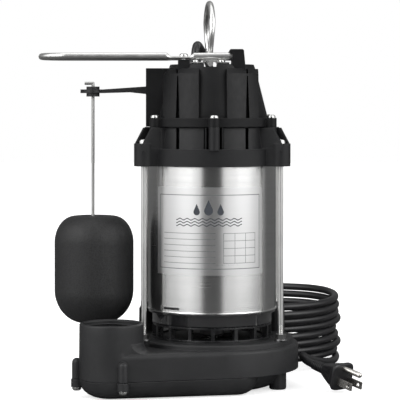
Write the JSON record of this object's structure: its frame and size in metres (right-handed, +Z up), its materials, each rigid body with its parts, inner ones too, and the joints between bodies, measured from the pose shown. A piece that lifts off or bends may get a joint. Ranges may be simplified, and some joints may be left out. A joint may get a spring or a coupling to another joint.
{
  "type": "submersible sump pump",
  "caption": "Upright submersible sump pump: steel motor case on a black volute with side discharge socket, float switch on a rod, carrying handle and coiled cord.",
  "frame": {"origin": "centre of the flat underside, on the motor axis", "axes": "+Z up along the motor axis and out of the discharge socket, +X to the right with the discharge at front left, -Y to the front"},
  "size_m": [0.2862, 0.3656, 0.345],
  "materials": {
    "housing_black": "matte glass-filled black moulding",
    "screen_black": "matte black moulding",
    "bell_gloss": "glossy black",
    "stainless_fasteners": "plain stainless",
    "gasket_rubber": "matte",
    "seal_ceramic": "lapped",
    "seal_carbon": "matte",
    "can_steel": "brushed round the case",
    "label_foil": "matt silver foil",
    "wire_steel": "bright drawn wire",
    "cord_rubber": "semi-matte jacket",
    "plug_metal": "nickel plated",
    "arm_plastic": "matte black",
    "grommet_rubber": "matte",
    "float_plastic": "finely mottled black",
    "switch_plastic": "matte",
    "plunger_plastic": "matte",
    "capacitor_can": "plain",
    "lamination_steel": "stacked laminations",
    "copper_wire": "enamelled copper",
    "shaft_steel": "ground",
    "bearing_steel": "ground",
    "impeller_plastic": "glass-filled natural",
    "brass_nut": "plain"
  },
  "bodies": {
    "pump": {"bottom_cover": "housing_black", "bottom_cover_screws": "stainless_fasteners", "volute_gasket": "gasket_rubber", "volute_housing": "housing_black", "intake_screen": "screen_black", "lower_motor_bell": "bell_gloss", "seal_seat": "seal_ceramic", "motor_can": "can_steel", "can_o_rings": "gasket_rubber", "rating_label": "label_foil", "motor_cap": "housing_black", "cover_gasket": "gasket_rubber", "switch_cover": "housing_black", "cover_screws": "stainless_fasteners", "tie_bolts": "stainless_fasteners", "tie_bolt_nuts": "stainless_fasteners", "tie_bolt_washers": "stainless_fasteners", "float_guard": "wire_steel", "guard_screws": "stainless_fasteners", "carry_handle": "wire_steel", "handle_straps": "wire_steel", "strap_screws": "stainless_fasteners", "cord_gland": "cord_rubber", "power_cord": "cord_rubber", "plug_body": "cord_rubber", "plug_blades": "plug_metal", "plug_ground_pin": "plug_metal", "arm_pivot_pin": "wire_steel", "snap_switch": "switch_plastic", "run_capacitor": "capacitor_can", "thermal_protector": "switch_plastic", "stator_core": "lamination_steel", "stator_windings": "copper_wire", "bearing_outer_rings": "bearing_steel", "bearing_balls": "bearing_steel"},
    "rotor": {"motor_shaft": "shaft_steel", "rotor_core": "lamination_steel", "bearing_inner_rings": "bearing_steel", "seal_rotor": "seal_carbon", "impeller": "impeller_plastic", "impeller_nut": "brass_nut"},
    "arm": {"switch_arm": "arm_plastic", "arm_grommet": "grommet_rubber"},
    "rod": {"float_rod": "wire_steel", "rod_stop": "wire_steel"},
    "float": {"float_ball": "float_plastic"},
    "plunger": {"switch_plunger": "plunger_plastic"}
  },
  "joints": [
    {"name": "rotor_spin", "type": "hinge", "parent": "pump", "child": "rotor", "pos_m": [0, 0, 0.1], "axis": [0, 0, 1], "continuous": true},
    {"name": "arm_lift", "type": "hinge", "parent": "pump", "child": "arm", "pos_m": [-0.046, 0, 0.264], "axis": [0, 1, 0], "range_deg": [0, 12]},
    {"name": "rod_hang", "type": "hinge", "parent": "arm", "child": "rod", "pos_m": [-0.1071, 0, 0.2636], "axis": [0, 1, 0], "range_deg": [-12.5, 0.5]},
    {"name": "float_slide", "type": "slide", "parent": "rod", "child": "float", "axis": [0, 0, 1], "range_m": [0, 0.096]},
    {"name": "plunger_press", "type": "slide", "parent": "pump", "child": "plunger", "axis": [0, 0, -1], "range_m": [0, 0.0032]}
  ],
  "couplings": [
    {"joint": "rod_hang", "follows": "arm_lift", "ratio": -1},
    {"joint": "plunger_press", "follows": "arm_lift", "m_per_rad": 0.0145}
  ]
}
